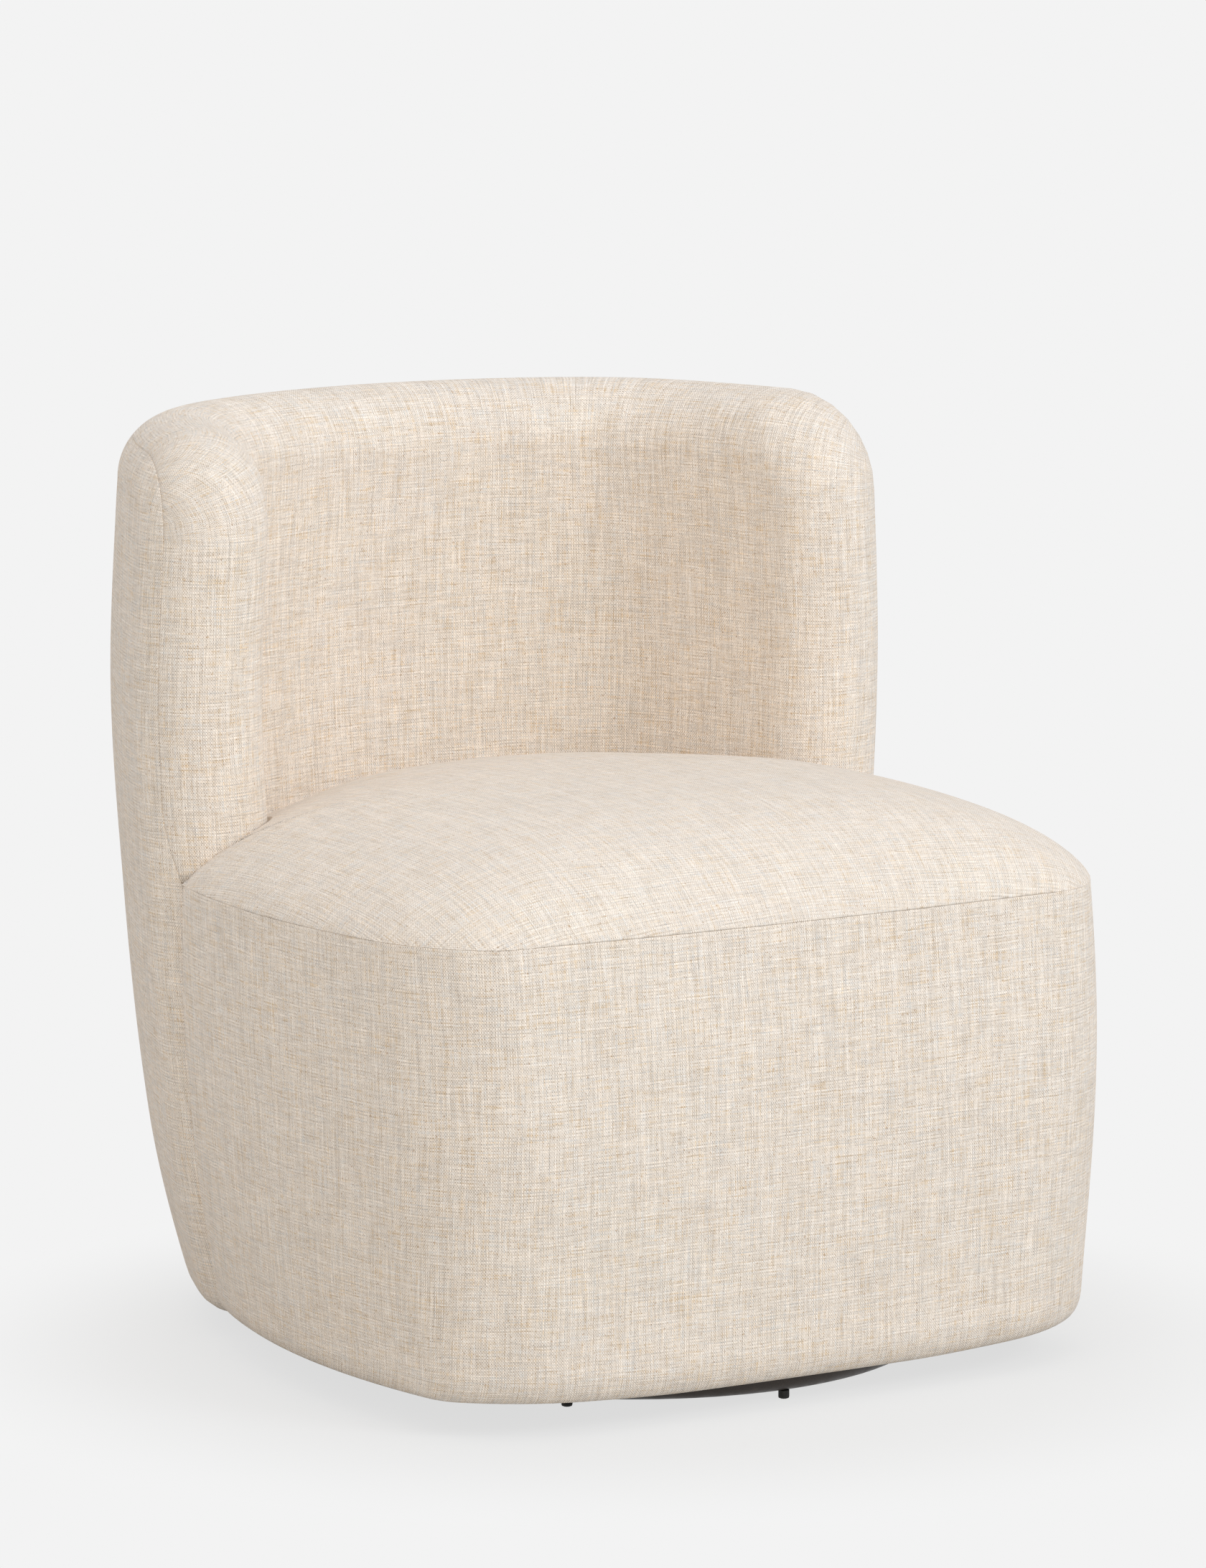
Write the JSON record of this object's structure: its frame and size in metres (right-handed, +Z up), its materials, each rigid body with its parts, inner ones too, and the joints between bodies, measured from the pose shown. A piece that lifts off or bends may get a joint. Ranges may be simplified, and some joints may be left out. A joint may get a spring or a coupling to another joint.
{
  "type": "swivel barrel chair",
  "caption": "Upholstered swivel barrel chair: a padded tub back wraps round a crowned seat, on a round tube base ring with a ball-bearing swivel.",
  "frame": {"origin": "on the floor under the middle of the chair's outline", "axes": "+Z up, the sitter looks towards -Y, +X to the sitter's left"},
  "size_m": [0.6932, 0.7446, 0.7393],
  "materials": {
    "linen": "plain-weave linen blend, light beige with slubs",
    "foam": "open-cell polyurethane foam",
    "felt": "grey needled felt",
    "cambric": "black non-woven dust cover",
    "plywood": "raw birch plywood",
    "bronze_paint": "dark bronze powder coat, satin",
    "zinc_steel": "zinc-plated pressed steel",
    "spring_steel": "drawn spring wire",
    "rubber": "black moulded rubber"
  },
  "bodies": {
    "base": {"base_ring": "bronze_paint", "base_spoke_1": "bronze_paint", "base_spoke_2": "bronze_paint", "base_spoke_3": "bronze_paint", "base_spoke_4": "bronze_paint", "rubber_glide_1": "rubber", "rubber_glide_2": "rubber", "rubber_glide_3": "rubber", "rubber_glide_4": "rubber", "rubber_glide_5": "rubber", "rubber_glide_6": "rubber", "rubber_glide_7": "rubber", "rubber_glide_8": "rubber", "lower_swivel_plate": "zinc_steel", "pivot_bolt": "zinc_steel", "pivot_nut": "zinc_steel", "pivot_washer": "zinc_steel"},
    "ball_cage": {"ball_cage": "zinc_steel"},
    "seat": {"back_outer_cover": "linen", "back_inner_pad": "linen", "base_band_cover": "linen", "seat_cushion": "linen", "front_panel": "plywood", "swivel_board": "plywood", "seat_deck": "plywood", "back_rib_1": "plywood", "back_rib_2": "plywood", "back_rib_3": "plywood", "back_rib_4": "plywood", "back_rib_5": "plywood", "back_rib_6": "plywood", "back_rib_7": "plywood", "back_top_rail": "plywood", "front_post_left": "plywood", "front_post_right": "plywood", "corner_post_left": "plywood", "corner_post_right": "plywood", "side_post_left": "plywood", "side_post_right": "plywood", "dust_cover": "cambric", "spring_felt": "felt", "seat_foam": "foam", "seat_spring_1": "spring_steel", "seat_spring_2": "spring_steel", "seat_spring_3": "spring_steel", "seat_spring_4": "spring_steel", "front_spring_clip_1": "zinc_steel", "front_spring_clip_2": "zinc_steel", "front_spring_clip_3": "zinc_steel", "front_spring_clip_4": "zinc_steel", "rear_spring_clip_1": "zinc_steel", "rear_spring_clip_2": "zinc_steel", "rear_spring_clip_3": "zinc_steel", "rear_spring_clip_4": "zinc_steel", "upper_swivel_plate": "zinc_steel", "plate_screw_1": "zinc_steel", "plate_screw_2": "zinc_steel", "plate_screw_3": "zinc_steel", "plate_screw_4": "zinc_steel"}
  },
  "joints": [
    {"name": "seat_swivel", "type": "hinge", "parent": "base", "child": "seat", "pos_m": [0, -0.10889, 0.035], "axis": [0, 0, 1], "continuous": true},
    {"name": "cage_turn", "type": "hinge", "parent": "base", "child": "ball_cage", "pos_m": [0, -0.10889, 0.035], "axis": [0, 0, 1], "continuous": true}
  ],
  "couplings": [
    {"joint": "cage_turn", "follows": "seat_swivel", "ratio": 0.5}
  ]
}
